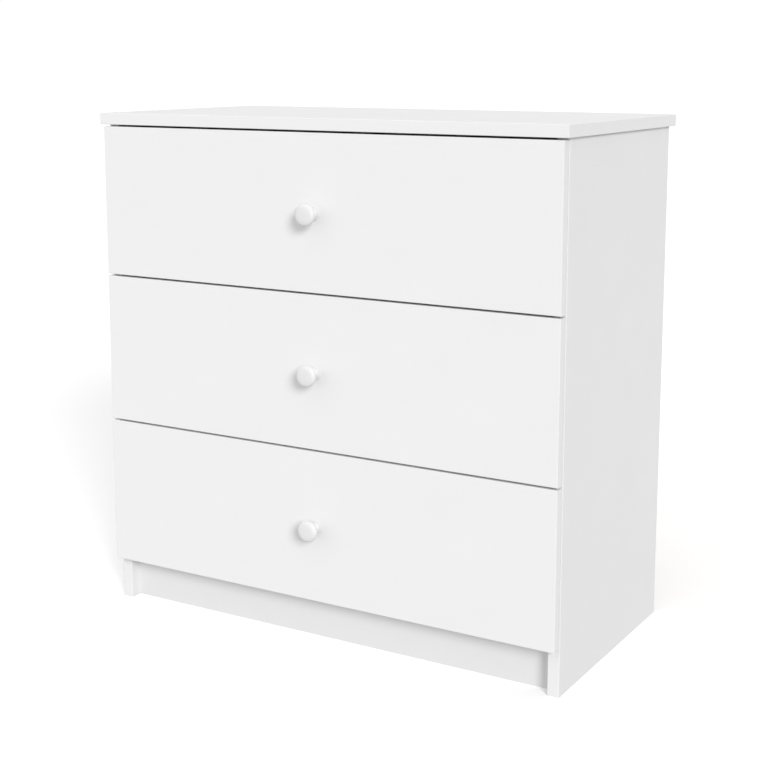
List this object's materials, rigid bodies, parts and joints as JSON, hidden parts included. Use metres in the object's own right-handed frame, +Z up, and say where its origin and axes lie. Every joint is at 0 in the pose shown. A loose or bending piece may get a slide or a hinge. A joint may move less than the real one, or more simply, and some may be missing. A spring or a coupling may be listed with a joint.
{
  "type": "chest of drawers",
  "caption": "White chest of drawers with a recessed plinth, overlay fronts, round knobs and drawers that slide out on roller runners.",
  "frame": {"origin": "on the floor, in the middle of the width and of the whole depth, knobs included", "axes": "+Z up, the drawer fronts face -Y, +X to the right of someone who faces the fronts"},
  "size_m": [0.8, 0.434, 0.8],
  "materials": {
    "melamine_board": "satin",
    "fibreboard": "matte",
    "knob_plastic": "satin",
    "runner_steel": "satin",
    "roller_nylon": "satin",
    "zinc_fittings": "satin",
    "steel_fittings": "satin",
    "beech_dowels": "matte"
  },
  "bodies": {
    "carcass": {"top_panel": "melamine_board", "left_side_panel": "melamine_board", "right_side_panel": "melamine_board", "bottom_panel": "melamine_board", "plinth": "melamine_board", "back_panel": "fibreboard", "carcass_cam_locks": "zinc_fittings", "carcass_cam_bolts": "steel_fittings", "carcass_dowels": "beech_dowels", "bottom_drawer_left_rail": "runner_steel", "bottom_drawer_right_rail": "runner_steel", "middle_drawer_left_rail": "runner_steel", "middle_drawer_right_rail": "runner_steel", "top_drawer_left_rail": "runner_steel", "top_drawer_right_rail": "runner_steel"},
    "bottom_drawer": {"bottom_drawer_front": "melamine_board", "bottom_drawer_left_side": "melamine_board", "bottom_drawer_right_side": "melamine_board", "bottom_drawer_back": "melamine_board", "bottom_drawer_bottom": "fibreboard", "bottom_drawer_knob": "knob_plastic", "bottom_drawer_knob_screw": "steel_fittings", "bottom_drawer_cam_locks": "zinc_fittings", "bottom_drawer_cam_bolts": "steel_fittings", "bottom_drawer_left_runner": "runner_steel", "bottom_drawer_right_runner": "runner_steel"},
    "bottom_drawer_left_rail_roller": {"bottom_drawer_left_rail_roller": "roller_nylon"},
    "bottom_drawer_left_runner_roller": {"bottom_drawer_left_runner_roller": "roller_nylon"},
    "bottom_drawer_right_rail_roller": {"bottom_drawer_right_rail_roller": "roller_nylon"},
    "bottom_drawer_right_runner_roller": {"bottom_drawer_right_runner_roller": "roller_nylon"},
    "middle_drawer": {"middle_drawer_front": "melamine_board", "middle_drawer_left_side": "melamine_board", "middle_drawer_right_side": "melamine_board", "middle_drawer_back": "melamine_board", "middle_drawer_bottom": "fibreboard", "middle_drawer_knob": "knob_plastic", "middle_drawer_knob_screw": "steel_fittings", "middle_drawer_cam_locks": "zinc_fittings", "middle_drawer_cam_bolts": "steel_fittings", "middle_drawer_left_runner": "runner_steel", "middle_drawer_right_runner": "runner_steel"},
    "middle_drawer_left_rail_roller": {"middle_drawer_left_rail_roller": "roller_nylon"},
    "middle_drawer_left_runner_roller": {"middle_drawer_left_runner_roller": "roller_nylon"},
    "middle_drawer_right_rail_roller": {"middle_drawer_right_rail_roller": "roller_nylon"},
    "middle_drawer_right_runner_roller": {"middle_drawer_right_runner_roller": "roller_nylon"},
    "top_drawer": {"top_drawer_front": "melamine_board", "top_drawer_left_side": "melamine_board", "top_drawer_right_side": "melamine_board", "top_drawer_back": "melamine_board", "top_drawer_bottom": "fibreboard", "top_drawer_knob": "knob_plastic", "top_drawer_knob_screw": "steel_fittings", "top_drawer_cam_locks": "zinc_fittings", "top_drawer_cam_bolts": "steel_fittings", "top_drawer_left_runner": "runner_steel", "top_drawer_right_runner": "runner_steel"},
    "top_drawer_left_rail_roller": {"top_drawer_left_rail_roller": "roller_nylon"},
    "top_drawer_left_runner_roller": {"top_drawer_left_runner_roller": "roller_nylon"},
    "top_drawer_right_rail_roller": {"top_drawer_right_rail_roller": "roller_nylon"},
    "top_drawer_right_runner_roller": {"top_drawer_right_runner_roller": "roller_nylon"}
  },
  "joints": [
    {"name": "bottom_drawer_slide", "type": "slide", "parent": "carcass", "child": "bottom_drawer", "axis": [0, -1, 0], "range_m": [0, 0.262]},
    {"name": "bottom_drawer_left_rail_roller_turn", "type": "hinge", "parent": "carcass", "child": "bottom_drawer_left_rail_roller", "pos_m": [-0.37105, -0.1605, 0.119], "axis": [1, 0, 0], "continuous": true},
    {"name": "bottom_drawer_left_runner_roller_turn", "type": "hinge", "parent": "bottom_drawer", "child": "bottom_drawer_left_runner_roller", "pos_m": [-0.36845, 0.1695, 0.119], "axis": [1, 0, 0], "continuous": true},
    {"name": "bottom_drawer_right_rail_roller_turn", "type": "hinge", "parent": "carcass", "child": "bottom_drawer_right_rail_roller", "pos_m": [0.37105, -0.1605, 0.119], "axis": [1, 0, 0], "continuous": true},
    {"name": "bottom_drawer_right_runner_roller_turn", "type": "hinge", "parent": "bottom_drawer", "child": "bottom_drawer_right_runner_roller", "pos_m": [0.36845, 0.1695, 0.119], "axis": [1, 0, 0], "continuous": true},
    {"name": "middle_drawer_slide", "type": "slide", "parent": "carcass", "child": "middle_drawer", "axis": [0, -1, 0], "range_m": [0, 0.262]},
    {"name": "middle_drawer_left_rail_roller_turn", "type": "hinge", "parent": "carcass", "child": "middle_drawer_left_rail_roller", "pos_m": [-0.37105, -0.1605, 0.356], "axis": [1, 0, 0], "continuous": true},
    {"name": "middle_drawer_left_runner_roller_turn", "type": "hinge", "parent": "middle_drawer", "child": "middle_drawer_left_runner_roller", "pos_m": [-0.36845, 0.1695, 0.356], "axis": [1, 0, 0], "continuous": true},
    {"name": "middle_drawer_right_rail_roller_turn", "type": "hinge", "parent": "carcass", "child": "middle_drawer_right_rail_roller", "pos_m": [0.37105, -0.1605, 0.356], "axis": [1, 0, 0], "continuous": true},
    {"name": "middle_drawer_right_runner_roller_turn", "type": "hinge", "parent": "middle_drawer", "child": "middle_drawer_right_runner_roller", "pos_m": [0.36845, 0.1695, 0.356], "axis": [1, 0, 0], "continuous": true},
    {"name": "top_drawer_slide", "type": "slide", "parent": "carcass", "child": "top_drawer", "axis": [0, -1, 0], "range_m": [0, 0.262]},
    {"name": "top_drawer_left_rail_roller_turn", "type": "hinge", "parent": "carcass", "child": "top_drawer_left_rail_roller", "pos_m": [-0.37105, -0.1605, 0.593], "axis": [1, 0, 0], "continuous": true},
    {"name": "top_drawer_left_runner_roller_turn", "type": "hinge", "parent": "top_drawer", "child": "top_drawer_left_runner_roller", "pos_m": [-0.36845, 0.1695, 0.593], "axis": [1, 0, 0], "continuous": true},
    {"name": "top_drawer_right_rail_roller_turn", "type": "hinge", "parent": "carcass", "child": "top_drawer_right_rail_roller", "pos_m": [0.37105, -0.1605, 0.593], "axis": [1, 0, 0], "continuous": true},
    {"name": "top_drawer_right_runner_roller_turn", "type": "hinge", "parent": "top_drawer", "child": "top_drawer_right_runner_roller", "pos_m": [0.36845, 0.1695, 0.593], "axis": [1, 0, 0], "continuous": true}
  ],
  "couplings": [
    {"joint": "bottom_drawer_left_rail_roller_turn", "follows": "bottom_drawer_slide", "rad_per_m": 117.65},
    {"joint": "bottom_drawer_left_runner_roller_turn", "follows": "bottom_drawer_slide", "rad_per_m": 117.65},
    {"joint": "bottom_drawer_right_rail_roller_turn", "follows": "bottom_drawer_slide", "rad_per_m": 117.65},
    {"joint": "bottom_drawer_right_runner_roller_turn", "follows": "bottom_drawer_slide", "rad_per_m": 117.65},
    {"joint": "middle_drawer_left_rail_roller_turn", "follows": "middle_drawer_slide", "rad_per_m": 117.65},
    {"joint": "middle_drawer_left_runner_roller_turn", "follows": "middle_drawer_slide", "rad_per_m": 117.65},
    {"joint": "middle_drawer_right_rail_roller_turn", "follows": "middle_drawer_slide", "rad_per_m": 117.65},
    {"joint": "middle_drawer_right_runner_roller_turn", "follows": "middle_drawer_slide", "rad_per_m": 117.65},
    {"joint": "top_drawer_left_rail_roller_turn", "follows": "top_drawer_slide", "rad_per_m": 117.65},
    {"joint": "top_drawer_left_runner_roller_turn", "follows": "top_drawer_slide", "rad_per_m": 117.65},
    {"joint": "top_drawer_right_rail_roller_turn", "follows": "top_drawer_slide", "rad_per_m": 117.65},
    {"joint": "top_drawer_right_runner_roller_turn", "follows": "top_drawer_slide", "rad_per_m": 117.65}
  ]
}
